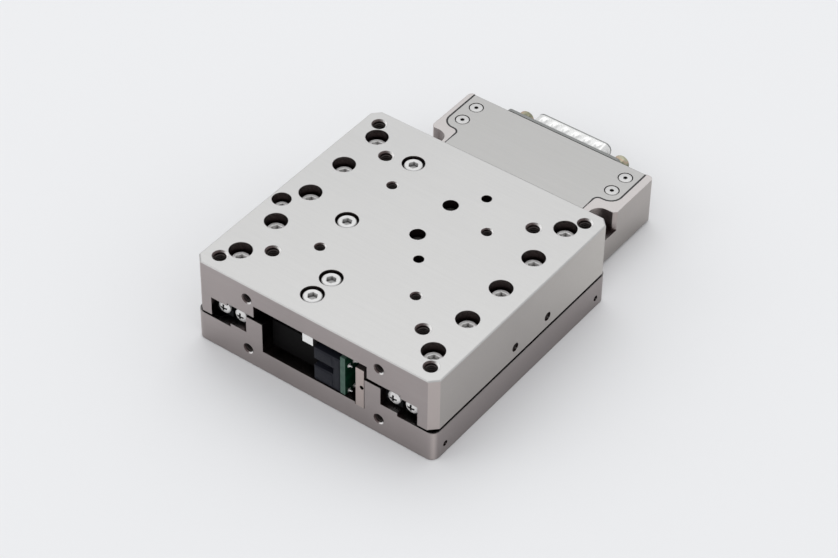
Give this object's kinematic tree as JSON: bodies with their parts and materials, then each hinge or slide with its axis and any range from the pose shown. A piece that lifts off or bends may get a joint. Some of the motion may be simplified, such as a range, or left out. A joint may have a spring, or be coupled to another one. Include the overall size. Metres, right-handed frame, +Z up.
{
  "type": "linear motor stage",
  "caption": "Flat linear motor stage: a square drilled table on crossed-roller guides over a base, with a rear connector box.",
  "frame": {"origin": "centre of the base's 70 mm bolt square at its underside", "axes": "+Z up through the table, +Y the travel direction from the open front to the connector box, +X to the right seen from the front"},
  "size_m": [0.08, 0.1225, 0.028],
  "materials": {
    "ground_metal": "fine-ground nickel plated steel, satin",
    "bar_metal": "machined, satin",
    "rail_black": "black plated, satin",
    "screw_steel": "bright stainless",
    "set_screw_black": "black oxide",
    "dowel_steel": "ground, bright",
    "cage_strip": "rolled strip",
    "coil_resin": "black casting resin",
    "copper_wire": "enamelled copper wire",
    "yoke_steel": "dark nickel",
    "magnet_nickel": "nickel plated magnet",
    "flag_black": "matt black sheet",
    "scale_glass": "reflective scale",
    "sensor_plastic": "black moulded",
    "board_green": "green solder mask",
    "solder": "solder",
    "shell_bright": "tin plated shell",
    "core_plastic": "black moulded core",
    "pin_gold": "gold flashed pins",
    "jack_brass": "yellow plated brass",
    "lead_rubber": "insulated lead",
    "ribbon_film": "amber film ribbon"
  },
  "bodies": {
    "base": {"base_plate": "ground_metal", "inner_rail_left": "rail_black", "inner_rail_right": "rail_black", "inner_rail_screws_left": "screw_steel", "inner_rail_screws_right": "screw_steel", "inner_rail_end_screws": "screw_steel", "coil_block": "coil_resin", "coil_windings": "copper_wire", "coil_screws": "screw_steel", "board_bar": "bar_metal", "board_bar_screws": "screw_steel", "sensor_board": "board_green", "sensor_board_screws": "screw_steel", "limit_sensor": "sensor_plastic", "sensor_leads": "solder", "encoder_head": "sensor_plastic", "connector_box": "ground_metal", "box_screws": "screw_steel", "box_cover": "ground_metal", "cover_screws": "screw_steel", "plug_shell": "shell_bright", "plug_core": "core_plastic", "plug_pins": "pin_gold", "plug_jack_screws": "jack_brass", "link_board": "board_green", "motor_leads": "lead_rubber", "sensor_ribbon": "ribbon_film"},
    "table": {"table_plate": "ground_metal", "outer_rail_left": "rail_black", "outer_rail_right": "rail_black", "outer_rail_screws_left": "screw_steel", "outer_rail_screws_right": "screw_steel", "outer_rail_end_screws": "screw_steel", "preload_screws": "set_screw_black", "stop_screw": "screw_steel", "magnet_yoke": "yoke_steel", "magnets": "magnet_nickel", "yoke_screws": "screw_steel", "flag_bracket": "bar_metal", "flag_bracket_screws": "screw_steel", "flag_plate": "flag_black", "flag_plate_screws": "screw_steel", "scale_holder": "bar_metal", "scale_holder_screws": "screw_steel", "scale_dowels": "dowel_steel", "encoder_scale": "scale_glass"},
    "cage_left": {"cage_left_strip": "cage_strip", "cage_left_rollers": "dowel_steel"},
    "cage_right": {"cage_right_strip": "cage_strip", "cage_right_rollers": "dowel_steel"}
  },
  "joints": [
    {"name": "table_slide", "type": "slide", "parent": "base", "child": "table", "axis": [0, 1, 0], "range_m": [-0.01, 0.01]},
    {"name": "cage_left_slide", "type": "slide", "parent": "base", "child": "cage_left", "axis": [0, 1, 0], "range_m": [-0.005, 0.005]},
    {"name": "cage_right_slide", "type": "slide", "parent": "base", "child": "cage_right", "axis": [0, 1, 0], "range_m": [-0.005, 0.005]}
  ],
  "couplings": [
    {"joint": "cage_left_slide", "follows": "table_slide", "ratio": 0.5},
    {"joint": "cage_right_slide", "follows": "table_slide", "ratio": 0.5}
  ]
}
